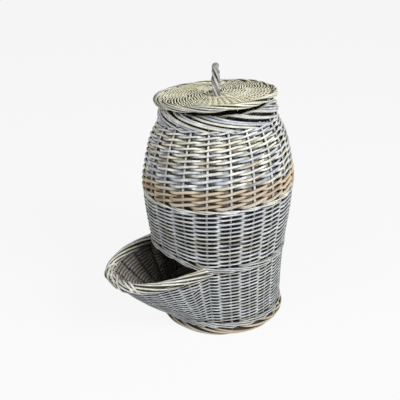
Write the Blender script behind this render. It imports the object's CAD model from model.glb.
"""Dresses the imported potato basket.

Every woven band is made of real willow rods that pass in front of and behind the stakes, with
rolled borders, a woven lid and a twisted loop handle. Metres, +Z up, the scoop faces -Y.
"""

import logging
import math
from collections import defaultdict
from collections.abc import Callable, Sequence
from dataclasses import dataclass, field
from enum import Enum

import bpy
import numpy as np
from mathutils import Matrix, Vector


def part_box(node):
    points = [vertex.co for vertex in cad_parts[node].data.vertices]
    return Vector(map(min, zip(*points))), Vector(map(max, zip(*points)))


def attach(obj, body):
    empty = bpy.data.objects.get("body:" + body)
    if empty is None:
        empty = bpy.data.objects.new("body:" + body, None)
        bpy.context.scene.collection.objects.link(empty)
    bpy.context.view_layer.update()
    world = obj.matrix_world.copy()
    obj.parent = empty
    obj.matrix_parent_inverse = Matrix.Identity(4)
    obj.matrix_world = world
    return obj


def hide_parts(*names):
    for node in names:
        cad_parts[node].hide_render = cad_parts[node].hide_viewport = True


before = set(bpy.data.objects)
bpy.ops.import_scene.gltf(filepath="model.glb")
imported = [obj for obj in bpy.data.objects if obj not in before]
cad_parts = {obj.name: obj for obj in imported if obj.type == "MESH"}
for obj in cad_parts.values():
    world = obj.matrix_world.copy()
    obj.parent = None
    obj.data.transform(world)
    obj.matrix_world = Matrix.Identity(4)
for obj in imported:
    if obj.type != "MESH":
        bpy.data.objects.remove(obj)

LOG = logging.getLogger("potato_basket")
TAU = 2.0 * math.pi
STAKE = 0.006
STAKE_COUNT = 20
SCOOP_HALF = math.radians(45)
SCOOP_STEP = 9.0
LINING_ROD = 0.0066
RISE_LEAD = 0.25
ROUND_STEPS = 160
Array = np.ndarray
Numbers = Array | float
Random = np.random.Generator
Socket = bpy.types.NodeSocket
Screen = tuple[int, int, int]
Colour = tuple[float, float, float, float]
Range = tuple[float, float]
LevelOf = Callable[[Array], Array]
Place = Callable[[Array, Array, Array], Array]


class Body(Enum):
    """Bodies that the pieces ride on."""

    BASKET = "basket"
    LID = "lid"


class Slot(Enum):
    """Material slots of the record."""

    PALE = "weave_pale"
    GREY = "weave_grey"
    TAN = "weave_tan"
    STICK = "stick"
    LID = "lid_cream"
    HANDLE = "handle_twist"


def paint(red: int, green: int, blue: int) -> Colour:
    """Turns a screen colour into linear light: up to 0.04045 a thirteenth, then a power of 2.4."""
    share = np.array([red, green, blue]) / 255.0
    return (*np.where(share <= 0.04045, share / 12.92, ((share + 0.055) / 1.055) ** 2.4).tolist(), 1.0)


def unit(vectors: Array) -> Array:
    """Scales vectors to length one."""
    return vectors / np.maximum(np.linalg.norm(vectors, axis=-1, keepdims=True), 1e-12)


def smooth_step(share: Array) -> Array:
    """Goes from 0 to 1 in an even S, three squares less two cubes of the share."""
    held = np.clip(share, 0.0, 1.0)
    return held * held * (3.0 - 2.0 * held)


def wrap(turn: Numbers) -> Array:
    """Brings angles to within half a turn of the scoop's direction."""
    return (np.asarray(turn) + math.pi) % TAU - math.pi


def over_scoop(turn: Array) -> Array:
    """Falls from one in the scoop's middle to zero at its roots, as a cosine."""
    share = np.clip(np.abs(wrap(turn)) / SCOOP_HALF, 0.0, 1.0)
    return np.cos(share * math.pi / 2)


def around(turn: Array, height: Numbers, radius: Numbers = 1.0) -> Array:
    """Gives points, or directions, by angle from the scoop's direction, height and radius."""
    parts = np.broadcast_arrays(radius * np.sin(turn), -radius * np.cos(turn), height)
    return np.stack(parts, axis=-1)


def turned(first: Array, second: Array, angle: float) -> tuple[Array, Array]:
    """Turns places in a plane by an angle, from its first axis towards its second."""
    cos, sin = (math.cos(angle), math.sin(angle))
    return first * cos - second * sin, first * sin + second * cos


def full_turn(count: int = ROUND_STEPS) -> Array:
    """Gives evenly spaced angles once round."""
    return np.linspace(0.0, TAU, count, endpoint=False)


def flat(level: float) -> LevelOf:
    """Gives a level that is the same all round."""
    return lambda turn: np.full_like(turn, level)


def numbered(prefix: str, count: int) -> list[str]:
    """Lists node names with a number from 1."""
    return [f"{prefix}_{index}" for index in range(1, count + 1)]


def linked(name: str, data: bpy.types.ID) -> bpy.types.Object:
    """Makes an object of a mesh, lamp or camera and links it to the scene.

    Args:
        name: Name of the object.
        data: What it shows.

    Returns:
        The object.
    """
    obj = bpy.data.objects.new(name, data)
    bpy.context.scene.collection.objects.link(obj)
    return obj


def scattered(count: int, spread: float, rng: Random) -> list[float]:
    """Gives evenly spaced angles round a ring, each off by up to a share of a step."""
    step = TAU / count
    return [index * step + float(rng.uniform(-spread, spread)) * step for index in range(count)]


def through(knots: Sequence[Sequence[float]] | Array, count: int) -> Array:
    """Follows a Catmull-Rom curve through evenly spaced knots.

    Args:
        knots: Points to pass, one row each.
        count: How many points of the curve to give.

    Returns:
        Evenly spaced points of the curve, one row each.
    """
    rows = np.asarray(knots, float)
    last = len(rows) - 1
    place = np.linspace(0.0, 1.0, count) * last
    index = np.minimum(place.astype(int), last - 1)
    t = (place - index)[:, None]
    before = rows[np.maximum(index - 1, 0)]
    start = rows[index]
    end = rows[index + 1]
    after = rows[np.minimum(index + 2, last)]
    bend = 2.0 * before - 5.0 * start + 4.0 * end - after
    twist = 3.0 * (start - end) + after - before
    return 0.5 * (2.0 * start + (end - before) * t + bend * t**2 + twist * t**3)


def wave(place: Array, snap: float, bias: float) -> Array:
    """Swings from 1 at even stakes to -1 at odd ones: tanh(snap (cos(pi place) + bias)), scaled."""
    swing = np.tanh(snap * (np.cos(math.pi * place) + bias))
    return swing / np.where(swing > 0.0, math.tanh(snap * (1.0 + bias)), math.tanh(snap * (1.0 - bias)))


@dataclass
class RodBundle:
    """Gathers swept rods into one mesh, with a tone for each rod and two masks for each point."""

    name: str
    sides: int = 8
    wing_growth: float = 2.5
    shade_span: float = 0.12
    core_from: float = 0.9
    inner_middle: float = 0.5
    inner_by_facing: float = 0.9
    inner_by_depth: float = 0.35
    dome: float = 0.35
    cap_sunk: float = 0.6
    cap_inner: float = 0.5
    count: int = 0
    gathered: dict[str, list[Array]] = field(default_factory=lambda: defaultdict(list))

    def rod(
        self,
        path: Array,
        outward: Array,
        radius: Numbers,
        tone: float,
        depth: Numbers = 1.0,
        tall: Numbers = 1.0,
        press: float = 0.0,
        groove: float = 0.25,
        shade: float = 1.0,
        dark: Numbers = 0.0,
        glow: float = 0.0,
        closed: bool = False,
    ) -> None:
        """Sweeps a round or oval section along a path.

        A point is path + radius (cos a out + tall sin a side), where out is the outward direction
        squared to the path, side is square to both, and a goes once round. Hidden is minus depth
        times cos a, above zero on the half that faces the stakes, and marked as sunk. On an inner
        rod that half is taller by press times hidden, which soon reaches its most. The other mask
        marks what faces inwards.

        Args:
            path: Centre line, one row a point.
            outward: Direction away from the basket's inside at each point.
            radius: Radius of the rod, one value or one for each point.
            tone: Place of the rod in its finish's range of tones, from 0 to 1.
            depth: 1 where the rod is outside the stakes, -1 where it is inside.
            tall: How much taller the section is than it is deep.
            press: How much taller an inner rod's half is that faces the stakes.
            groove: How dark the rod's upper and lower sides are.
            shade: How dark the half is that faces the stakes.
            dark: How dark the whole rod is at least.
            glow: How much of its tone an inner rod keeps along the middle of that half.
            closed: True if the rod ends where it began.
        """
        rows = len(path)
        turn = np.arange(self.sides) * TAU / self.sides
        if closed:
            along = unit(np.roll(path, -1, axis=0) - np.roll(path, 1, axis=0))
        else:
            along = unit(np.gradient(path, axis=0))
        values = (radius, depth, tall, dark)
        columns = [np.broadcast_to(np.asarray(value, float), (rows,))[:, None] for value in values]
        reach, stand, taller, least = columns
        out = unit(outward - np.sum(outward * along, axis=1, keepdims=True) * along)
        side = np.cross(along, out) * taller
        facing = np.broadcast_to(np.cos(turn), (rows, self.sides))
        hidden = np.clip(-stand * facing, 0.0, 1.0)
        wing = np.where(stand < 0.0, np.minimum(self.wing_growth * hidden, 1.0), 0.0)
        height = np.sin(turn) * (1.0 + press * wing)
        section = facing[..., None] * out[:, None] + height[..., None] * side[:, None]
        ring = path[:, None] + reach[..., None] * section
        lines = np.maximum(groove * (1.0 - facing**2) ** 2, least)
        core = np.where(stand < 0.0, smooth_step((facing - self.core_from) / (1.0 - self.core_from)), 0.0)
        covered = shade * smooth_step(hidden / self.shade_span)
        sunk = np.maximum(covered * (1.0 - glow * core), lines)
        inner = self.inner_middle - self.inner_by_facing * facing - self.inner_by_depth * stand
        length = np.concatenate([[0.0], np.cumsum(np.linalg.norm(np.diff(path, axis=0), axis=1))])
        self._skin(rows, length, closed)
        self._keep(ring.reshape(-1, 3), tone, sunk.reshape(-1), np.clip(inner, 0.0, 1.0).reshape(-1))
        if not closed:
            self._close(path, along, ring, length, tone)

    def _keep(self, points: Array, tone: float, sunk: Array, inner: Array) -> None:
        """Adds points with their tone and their two masks.

        Args:
            points: The points, one row each.
            tone: Tone of their rod.
            sunk, inner: The masks at each point.
        """
        tones = np.full(len(points), tone)
        for label, values in (("points", points), ("tone", tones), ("sunk", sunk), ("inner", inner)):
            self.gathered[label].append(values)
        self.count += len(points)

    def _skin(self, rows: int, length: Array, closed: bool) -> None:
        """Joins each ring of points to the next with quads.

        Args:
            rows: How many rings there are.
            length: Length along the rod at each ring.
            closed: True if the last ring joins the first.
        """
        sides = self.sides
        spans = rows if closed else rows - 1
        ring = np.arange(spans)[:, None]
        spot = np.arange(sides)[None, :]
        onward = (ring + 1) % rows
        beside = (spot + 1) % sides
        corners = [ring * sides + spot, ring * sides + beside, onward * sides + beside, onward * sides + spot]
        self.gathered["quads"].append(self.count + np.stack(corners, axis=-1).reshape(-1, 4))
        ends = np.append(length, length[-1] + float(np.mean(np.diff(length))))[:, None]
        limits = (ends[:spans], ends[1 : spans + 1], spot / sides, (spot + 1) / sides)
        start, end, low, high = np.broadcast_arrays(*limits)
        uvs = [np.stack(pair, axis=-1) for pair in ((start, low), (start, high), (end, high), (end, low))]
        self.gathered["uvs"].append(np.stack(uvs, axis=2).reshape(-1, 2))

    def _close(self, path: Array, along: Array, ring: Array, length: Array, tone: float) -> None:
        """Closes both ends of a rod with a slightly domed fan.

        Args:
            path: Centre line.
            along: Direction of the rod at each point.
            ring: Points of the skin, by ring and side.
            length: Length along the rod at each ring.
            tone: Tone of the rod.
        """
        sides = self.sides
        last = len(ring) - 1
        spot = np.arange(sides)
        beside = (spot + 1) % sides
        first = self.count - len(ring) * sides
        for row, sense, edge in ((0, -1.0, (beside, spot)), (last, 1.0, (spot, beside))):
            dome = self.dome * np.linalg.norm(ring[row, 0] - path[row])
            base = first + row * sides
            fan = [np.full(sides, self.count), base + edge[0], base + edge[1]]
            self.gathered["caps"].append(np.stack(fan, axis=-1))
            self.gathered["cap_uvs"].append(np.broadcast_to([length[row], 0.5], (3 * sides, 2)))
            tip = (path[row] + sense * dome * along[row])[None]
            self._keep(tip, tone, np.array([self.cap_sunk]), np.array([self.cap_inner]))

    def to_object(self) -> bpy.types.Object:
        """Puts the gathered rods into a mesh object at the origin.

        Returns:
            The linked object, smooth shaded, with a UV map along each rod.
        """
        points, quads = (np.concatenate(self.gathered[label]) for label in ("points", "quads"))
        caps = np.concatenate([np.zeros((0, 3), int), *self.gathered["caps"]])
        uvs = np.concatenate(self.gathered["uvs"] + self.gathered["cap_uvs"])
        loops = np.concatenate([quads.ravel(), caps.ravel()])
        starts = np.concatenate([np.arange(len(quads)) * 4, len(quads) * 4 + np.arange(len(caps)) * 3])
        mesh = bpy.data.meshes.new(self.name)
        mesh.vertices.add(len(points))
        mesh.vertices.foreach_set("co", points.ravel())
        mesh.loops.add(len(loops))
        mesh.loops.foreach_set("vertex_index", loops)
        mesh.polygons.add(len(starts))
        mesh.polygons.foreach_set("loop_start", starts)
        mesh.polygons.foreach_set("use_smooth", np.ones(len(starts), bool))
        mesh.uv_layers.new(name="rod").data.foreach_set("uv", uvs.ravel())
        for label in ("tone", "sunk", "inner"):
            attribute = mesh.attributes.new(label, "FLOAT", "POINT")
            attribute.data.foreach_set("value", np.concatenate(self.gathered[label]))
        mesh.update(calc_edges=True)
        return linked(self.name, mesh)


@dataclass(frozen=True)
class BarrelWall:
    """The stakes' surface of the barrel: five radii by height, a set-back base and a leaning rim."""

    axis_y: float
    heights: tuple[float, ...] = (0.0, 0.189, 0.345, 0.450, 0.504)
    radii: tuple[float, ...] = (0.141, 0.155, 0.1695, 0.153, 0.128)
    base_set_back: float = 0.0135
    set_back_end: float = 0.250
    rim_lean: float = 0.06
    lean_start: float = 0.100
    lean_end: float = 0.445
    slope_step: float = 0.0005

    def radius(self, height: Array) -> Array:
        """Reads the radius from a Hermite curve through the sections, straight beyond its ends.

        Args:
            height: Heights above the floor.

        Returns:
            The stakes' radius at each height.
        """
        z = np.asarray(self.heights)
        r = np.asarray(self.radii)
        last = len(z) - 1
        before = np.maximum(np.arange(last + 1) - 1, 0)
        after = np.minimum(np.arange(last + 1) + 1, last)
        slopes = (r[after] - r[before]) / (z[after] - z[before])
        held = np.clip(height, z[0], z[-1])
        i = np.clip(np.searchsorted(z, held, side="right") - 1, 0, last - 1)
        span = z[i + 1] - z[i]
        t = (held - z[i]) / span
        rise = (r[i + 1] - r[i]) * t * t * (3.0 - 2.0 * t)
        leave = t * (1.0 - t) ** 2 * span * slopes[i]
        arrive = t * t * (1.0 - t) * span * slopes[i + 1]
        beyond = (height - held) * np.where(height < z[0], slopes[0], slopes[-1])
        return r[i] + rise + leave - arrive + beyond

    def slope(self, height: Array) -> Array:
        """Gives how fast the radius grows with height."""
        step = self.slope_step
        return (self.radius(height + step) - self.radius(height - step)) / (2.0 * step)

    def base_centre(self, height: float = 0.0) -> tuple[float, float, float]:
        """Gives the middle of the set-back base at a height."""
        return (0.0, self.axis_y + self.base_set_back, height)

    def set_back(self, height: Numbers) -> Array:
        """Gives how far the round at a height sits back, the square of what is left to its end."""
        left = np.clip(1.0 - np.asarray(height) / self.set_back_end, 0.0, 1.0)
        return self.base_set_back * left * left

    def leaned(self, x: Array, y: Array, height: Array) -> Array:
        """Tips level points by the lean of their height, which lifts them by lean times x."""
        share = np.clip((np.asarray(height) - self.lean_start) / (self.lean_end - self.lean_start), 0.0, 1.0)
        return np.stack(np.broadcast_arrays(x, y, height + self.rim_lean * share * x), axis=-1)

    def at_radius(self, turn: Array, radius: Array, height: Array) -> Array:
        """Gives the points at an angle from the scoop's direction, a radius and a height."""
        y = self.axis_y + self.set_back(height) - radius * np.cos(turn)
        return self.leaned(radius * np.sin(turn), y, height)

    def point(self, turn: Array, level: Array, offset: Numbers = 0.0) -> Array:
        """Gives points of the wall, moved out along its normal in the upright plane.

        Args:
            turn: Angles from the scoop's direction.
            level: Heights above the floor.
            offset: How far out the points are.

        Returns:
            The points, one row each.
        """
        slope = self.slope(level)
        out = offset / np.hypot(1.0, slope)
        places = self.at_radius(turn, self.radius(level) + out, level)
        places[..., 2] -= slope * out
        return places

    def outward(self, turn: Array, level: Array) -> Array:
        """Gives the wall's normal at an angle and height."""
        return unit(around(turn, -self.slope(level)))


@dataclass(frozen=True)
class UpsettWall:
    """The wall just above the foot: the barrel, leaning out in front where the scoop begins."""

    barrel: BarrelWall
    foot: float = 0.014
    top: float = 0.036
    heel: float = 0.012

    def lean(self, turn: Array) -> Array:
        """Gives how far the wall leans out for its height, a squared cosine over the scoop."""
        return self.heel / (self.top - self.foot) * over_scoop(turn) ** 2

    def point(self, turn: Array, level: Array, offset: Numbers = 0.0) -> Array:
        """Gives points of the wall, moved out level, further where it leans.

        Args:
            turn: Angles from the scoop's direction.
            level: Heights above the floor.
            offset: How far out the points are.

        Returns:
            The points, one row each.
        """
        lean = self.lean(turn)
        out = lean * np.maximum(level - self.foot, 0.0) + offset * (np.hypot(1.0, lean) - 1.0)
        places = self.barrel.point(turn, level, offset)
        places[..., 0] += out * np.sin(turn)
        places[..., 1] -= out * np.cos(turn)
        return places

    def outward(self, turn: Array, level: Array) -> Array:
        """Gives the wall's normal, tipped down by its lean."""
        down = self.lean(turn)[..., None] * np.array([0.0, 0.0, 1.0])
        return unit(self.barrel.outward(turn, level) - down)


@dataclass(frozen=True)
class LowerWall:
    """The wall between upsett and hem: the barrel behind, opening into the scoop in front."""

    barrel: BarrelWall
    upsett: UpsettWall
    bottom: float = 0.036
    top: float = 0.1855
    hem_height: float = 0.189
    hem_radius: float = 0.155
    hem_lift: float = 0.022
    hem_power: float = 1.5
    root_drop: float = 0.006
    root_fade: float = 0.4
    tip_height: float = 0.172
    reach: float = 0.288
    squareness: float = 0.8
    dip_power: float = 1.5
    belly: float = 0.009
    step: float = 0.01

    def hem(self, turn: Array) -> Array:
        """Gives the hem's height, lifted over the scoop by a power of a cosine."""
        return self.hem_height + self.hem_lift * over_scoop(turn) ** self.hem_power

    def rim(self, share: Array) -> Array:
        """Follows the scoop's lip: a squared half oval that dips to its tip.

        Beyond its roots it runs straight back into the barrel.

        Args:
            share: From -1 at the -X root through 0 at the tip to 1.

        Returns:
            Points of the lip's centre line.
        """
        held = np.clip(share, -1.0, 1.0)
        turn = held * math.pi / 2
        half_width = self.hem_radius * math.sin(SCOOP_HALF)
        root = self.hem_radius * math.cos(SCOOP_HALF) - self.barrel.set_back(self.hem_height)
        forward = np.maximum(np.cos(turn), 0.0)
        x = half_width * np.sign(turn) * np.abs(np.sin(turn)) ** self.squareness
        root_height = self.hem_height - self.root_drop
        height = root_height + (self.tip_height - root_height) * forward**self.dip_power
        beyond = np.abs(share - held) * math.pi / 2
        y = self.barrel.axis_y - (root + (self.reach - root) * (forward - beyond))
        return self.barrel.leaned(x, y, height)

    def _sheet(self, turn: Array, share: Array) -> Array:
        """Blends from the foot of the wall to the lip, bulged over the scoop.

        The bulge is the belly times a parabola of the share and a cosine across the scoop.

        Args:
            turn: Angles round the wall.
            share: Shares of the wall's height.

        Returns:
            Points of the wall.
        """
        wrapped = wrap(turn)
        rim_share = wrapped / SCOOP_HALF
        past = np.clip((np.abs(rim_share) - 1.0) / self.root_fade, 0.0, 1.0)
        root = self.hem_height - self.root_drop
        top = root + (self.top - root) * smooth_step(past)
        behind = self.barrel.point(wrapped, self.bottom + (top - self.bottom) * share)
        foot = self.upsett.point(wrapped, np.full_like(wrapped, self.bottom))
        mix = np.broadcast_to(share, wrapped.shape)[..., None]
        swell = 4.0 * share * (1.0 - share) * self.belly * over_scoop(wrapped)
        down = unit(around(wrapped, -1.0))
        front = foot + (self.rim(rim_share) - foot) * mix + down * swell[..., None]
        return np.where((np.abs(rim_share) < 1.0)[..., None], front, behind)

    def outward(self, turn: Array, level: Array) -> Array:
        """Gives the normal from two short steps, one along the wall and one up it.

        Args:
            turn: Angles from the scoop's direction.
            level: Shares of the wall's height.

        Returns:
            Directions of length one.
        """
        along = self._sheet(turn + self.step, level) - self._sheet(turn - self.step, level)
        up = self._sheet(turn, level + self.step) - self._sheet(turn, level - self.step)
        return unit(np.cross(along, up))

    def point(self, turn: Array, level: Array, offset: Numbers = 0.0) -> Array:
        """Gives points of the wall at a share of its height, moved along the normal."""
        shift = np.broadcast_to(np.asarray(offset, float), np.shape(turn))[..., None]
        return self._sheet(turn, level) + shift * self.outward(turn, level)


@dataclass(frozen=True)
class RoundPlate:
    """A flat or crowned disc that is woven round its centre, such as the base or the lid."""

    centre: tuple[float, float, float]
    tilt: float = 0.0
    crown: float = 0.0
    crown_radius: float = 1.0
    facing: float = 1.0

    def settle(self, local: Array) -> Array:
        """Tips points of the plate's own frame about Y, +X side up, and moves them to their place."""
        x, z = turned(local[..., 0], local[..., 2], self.tilt)
        return np.stack([x, local[..., 1], z], axis=-1) + np.asarray(self.centre)

    def at_height(self, turn: Array, radius: Numbers, height: Numbers) -> Array:
        """Gives the points at an angle, radius and height in the plate's own frame."""
        return self.settle(around(turn, height, radius))

    def rise(self, radius: Array) -> Array:
        """Gives the crown's height, which falls with the square of the radius."""
        return self.crown * np.clip(1.0 - (np.asarray(radius) / self.crown_radius) ** 2, 0.0, 1.0)

    def point(self, turn: Array, level: Array, offset: Numbers = 0.0) -> Array:
        """Gives points at a radius, moved off the plate's middle on its outer side."""
        return self.at_height(turn, level, self.rise(level) + self.facing * offset)

    def outward(self, turn: Array, level: Array) -> Array:
        """Gives the plate's normal."""
        normal = np.array([-math.sin(self.tilt), 0.0, math.cos(self.tilt)]) * self.facing
        return np.broadcast_to(normal, (*np.shape(turn), 3))


Wall = BarrelWall | UpsettWall | LowerWall | RoundPlate


@dataclass(frozen=True)
class StakeRing:
    """The angles of the stakes round a wall, in order, within one turn."""

    angles: tuple[float, ...]

    @classmethod
    def even(cls, count: int, first: float) -> "StakeRing":
        """Makes a ring of evenly spaced stakes from the angle of the first."""
        return cls(tuple(first + index * TAU / count for index in range(count)))

    @property
    def count(self) -> int:
        """How many stakes there are."""
        return len(self.angles)

    def turn(self, place: Array) -> Array:
        """Turns a stake number, with parts of a stake, into an angle.

        Args:
            place: Stake numbers.

        Returns:
            Angles, on a straight line from stake to stake.
        """
        knots = np.append(np.asarray(self.angles) - self.angles[0], TAU)
        whole = np.floor(place / self.count)
        rest = place - whole * self.count
        return self.angles[0] + whole * TAU + np.interp(rest, np.arange(self.count + 1), knots)


@dataclass
class Weaver:
    """Carries rods round a wall, in front of and behind its stakes."""

    wall: Wall
    stakes: StakeRing
    bundle: RodBundle
    reach: float
    rng: Random
    steps: int = 10
    tail: float = 0.4
    tuck: float = 0.35
    sway: float = 0.0005
    drifts: tuple[Range, Range] = ((0.6, 0.9), (0.4, 2.3))
    knobs: Range = (0.05, 3.1)
    taper: float = 0.25
    snap: float = 1.8
    bias: float = 0.25
    swell: float = 0.0
    backing: float = 0.0
    backing_growth: float = 1.2
    press: float = 0.0
    groove: float = 0.25
    shade: float = 1.0
    spread: float = 0.1
    slant: float = 0.0
    twist: float = 0.52
    seam: int = 10
    thin: float = 1.0
    glow: float = 0.0
    tones: Range = (0.0, 1.0)

    def lengths(
        self, residue: int, period: int, longest: int, seam: int | None = None
    ) -> list[tuple[int, int]]:
        """Splits a row into rods that begin and end behind a stake.

        Args:
            residue: Number of one stake that the row passes behind.
            period: Stakes from there to the next such one.
            longest: Most stakes that a rod passes.
            seam: Number of the stake near which the row starts, or None for anywhere.

        Returns:
            First and last stake number of each rod.
        """
        total = self.stakes.count
        if seam is None:
            start = residue + period * int(self.rng.integers(0, total // period))
        else:
            start = residue + period * ((seam - residue) // period)
        ends = [start]
        shortest = max(1, longest // (2 * period))
        while ends[-1] < start + total:
            stride = period * int(self.rng.integers(shortest, longest // period + 1))
            ends.append(min(ends[-1] + stride, start + total))
        return list(zip(ends[:-1], ends[1:]))

    def strand(
        self,
        first: float,
        last: float,
        depth_of: Callable[[Array], Array],
        level_of: Callable[[Array, Array], Array],
        diameter: float,
    ) -> None:
        """Lays one rod, its two ends tucked away inside.

        The centre line stands off the stakes' surface by depth times reach. Beyond the first and
        last stake the depth sinks below -1. The level sways by two sines of the stake number. The
        rod is taller by the swell where it changes sides, and by the backing behind the stakes. A
        thin rod is less deep than tall.

        Args:
            first: Stake number where the rod begins, behind the stake.
            last: Stake number where it ends.
            depth_of: Depth from 1 to -1 by stake number.
            level_of: Level by stake number and angle.
            diameter: Middle diameter of the rod.
        """
        count = int((last - first + 2.0 * self.tail) * self.steps) + 1
        place = np.linspace(first - self.tail, last + self.tail, count)
        turn = self.stakes.turn(place)
        past = np.maximum(np.maximum(first - place, place - last), 0.0) / self.tail
        depth = np.where(past > 0.0, -1.0 - self.tuck * past, depth_of(place))
        phase = self.rng.uniform(0.0, TAU, 3)
        drift = sum(size * np.sin(rate * place + shift) for (size, rate), shift in zip(self.drifts, phase))
        level = level_of(place, turn) + self.sway * drift
        thick = diameter * self.rng.uniform(1.0 - self.spread, 1.0 + self.spread)
        way = np.linspace(0.5, -0.5, count) * (1.0 if self.rng.random() < 0.5 else -1.0)
        knob = self.knobs[0] * np.sin(self.knobs[1] * place + phase[2])
        radius = 0.5 * thick * self.thin * (1.0 + self.taper * way + knob)
        path = self.wall.point(turn, level, depth * self.reach)
        tone = float(self.rng.uniform(*self.tones))
        self.rod(path, self.wall.outward(turn, level), radius, tone, depth)

    def rod(
        self, path: Array, outward: Array, radius: Numbers, tone: float, depth: Array, closed: bool = False
    ) -> None:
        """Adds a rod to the bundle, taller where it crosses or lies behind.

        Args:
            path: Centre line.
            outward: Outward direction at each point.
            radius: Radius of the rod.
            tone: Tone of the rod.
            depth: Depth at each point.
            closed: True if the rod ends where it began.
        """
        crossing = np.clip(1.0 - depth**2, 0.0, 1.0)
        behind = smooth_step(-self.backing_growth * depth)
        tall = (1.0 + self.swell * crossing + self.backing * behind) / self.thin
        looks = {"press": self.press, "groove": self.groove, "shade": self.shade, "glow": self.glow}
        self.bundle.rod(path, outward, radius, tone, depth, tall, closed=closed, **looks)

    def _swing(self, shift: int, rise: Range, level_of: LevelOf, diameter: float, longest: int) -> None:
        """Lays one row of rods that pass before one stake and behind the next.

        The depth is the wave of the stake number and the shift, and the level rises by its sine.

        Args:
            shift: How many stakes on the pattern starts.
            rise: How far the level rises, and how early.
            level_of: Level of the row by angle.
            diameter: Diameter of the rods.
            longest: Most stakes that a rod passes.
        """
        for first, last in self.lengths((shift + 1) % 2, 2, longest):
            self.strand(
                first,
                last,
                lambda place: wave(place + shift, self.snap, self.bias),
                lambda place, turn: level_of(turn) + rise[0] * np.sin(math.pi * (place + shift + rise[1])),
                diameter,
            )

    def randing(self, levels: Sequence[LevelOf], diameter: float, longest: int) -> None:
        """Weaves plain rows that swap front and back at each stake and from row to row."""
        for row, level_of in enumerate(levels):
            self._swing(row, (self.slant, RISE_LEAD), level_of, diameter, longest)

    def pairing(self, levels: Sequence[float], diameters: Sequence[float], longest: int) -> None:
        """Weaves rows of two rods that twist half a turn between stakes, one half a turn behind.

        Args:
            levels: Level of each row.
            diameters: Diameter of each row's rods.
            longest: Most stakes that a rod passes.
        """
        for level, diameter in zip(levels, diameters):
            for side in (0, 1):
                self._swing(side, (self.twist * diameter, 0.0), flat(level), diameter, longest)

    def waling(
        self, level_of: LevelOf, diameter: float, period: int, front: int, longest: int, spacing: float
    ) -> None:
        """Weaves one wale: rods that pass before some stakes and behind the rest, each a stake on.

        A rod drifts down by the spacing at each stake in front, and climbs back behind the others.

        Args:
            level_of: Level of the wale's middle by angle.
            diameter: Diameter of the rods.
            period: How many rods there are, and stakes in one round of the pattern.
            front: Stakes that a rod passes in front of.
            longest: Most stakes that a rod passes.
            spacing: Distance between the rods in front.
        """
        top = 0.5 * (front - 1) * spacing
        knots = [0.0, front - 1.0, front, period - 1.0, period]
        for lead in range(period):

            def depth_of(place: Array, lead: int = lead) -> Array:
                """Swings out before the front stakes and in behind the others."""
                part = (place - lead) % period
                return np.cos(math.pi * np.interp(part, knots, [0.0, 0.0, 1.0, 1.0, 2.0]))

            def height_of(place: Array, turn: Array, lead: int = lead) -> Array:
                """Drifts from the top of the wale to its bottom and back."""
                part = (place - lead) % period
                return level_of(turn) + np.interp(part, [0.0, front - 1.0, period], [top, -top, top])

            for first, last in self.lengths(lead + front, period, longest, self.seam):
                self.strand(first, last, depth_of, height_of, diameter)

    def lining(self, levels: Sequence[LevelOf]) -> None:
        """Lays whole rounds inside the stakes, behind the gaps of what is woven in front.

        Args:
            levels: Level of each round by angle.
        """
        turn = full_turn()
        for level_of in levels:
            level = level_of(turn)
            path = self.wall.point(turn, level, -self.reach)
            tone = float(self.rng.uniform(*self.tones))
            self.bundle.rod(path, self.wall.outward(turn, level), 0.5 * LINING_ROD, tone, -1.0, closed=True)


@dataclass(frozen=True)
class RolledBorder:
    """A border of rods that each roll over the edge while they run along it."""

    rods: int
    span: float
    diameter: float
    section: tuple[tuple[float, ...], ...]
    wander: float
    core: Range = (0.0, 0.0)
    steps: int = 64
    unevenness: float = 0.0008
    backing: float = 0.0
    groove: float = 0.95
    tones: Range = (0.0, 1.0)
    fewest: int = 8
    waves: Range = (7.0, 5.0)
    thickness: Range = (0.9, 1.1)
    taper: Range = (1.1, 0.3)

    def lay(
        self,
        bundle: RodBundle,
        place: Place,
        starts: Sequence[float],
        rng: Random,
        limits: Range = (-math.inf, math.inf),
    ) -> None:
        """Lays the rods.

        Each rod follows its section, a curve through shares of the span, offsets and levels. The
        share carries it along the edge from its start. On the inner side it is taller by the backing.

        Args:
            bundle: Where the rods go.
            place: Turns an angle, an offset and a level into points.
            starts: Angle or share along the edge where each rod begins.
            rng: Source of chance.
            limits: Lowest and highest angle or share that is laid.
        """
        course = through(np.transpose(self.section), self.steps)
        deepest = np.ptp(self.section[1]) / 2.0
        for start in starts:
            turn = start + self.span * course[:, 0] * (1.0 + self.wander * rng.uniform(-1.0, 1.0))
            inside = (turn >= limits[0]) & (turn <= limits[1])
            if np.count_nonzero(inside) < self.fewest:
                continue
            turn = turn[inside]
            phase = rng.uniform(0.0, TAU, 2)
            way = np.linspace(0.0, 1.0, len(turn))
            offset = course[inside, 1] + self.unevenness * np.sin(self.waves[0] * way + phase[0])
            level = course[inside, 2] + self.unevenness * np.sin(self.waves[1] * way + phase[1])
            path = place(turn, offset, level)
            core = place(turn, *(np.full_like(turn, value) for value in self.core))
            tall = 1.0 + self.backing * smooth_step((self.core[0] - offset) / deepest)
            thick = self.diameter * rng.uniform(*self.thickness)
            radius = 0.5 * thick * (self.taper[0] - self.taper[1] * way)
            tone = float(rng.uniform(*self.tones))
            bundle.rod(path, unit(path - core), radius, tone, 1.0, tall, groove=self.groove)


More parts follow.
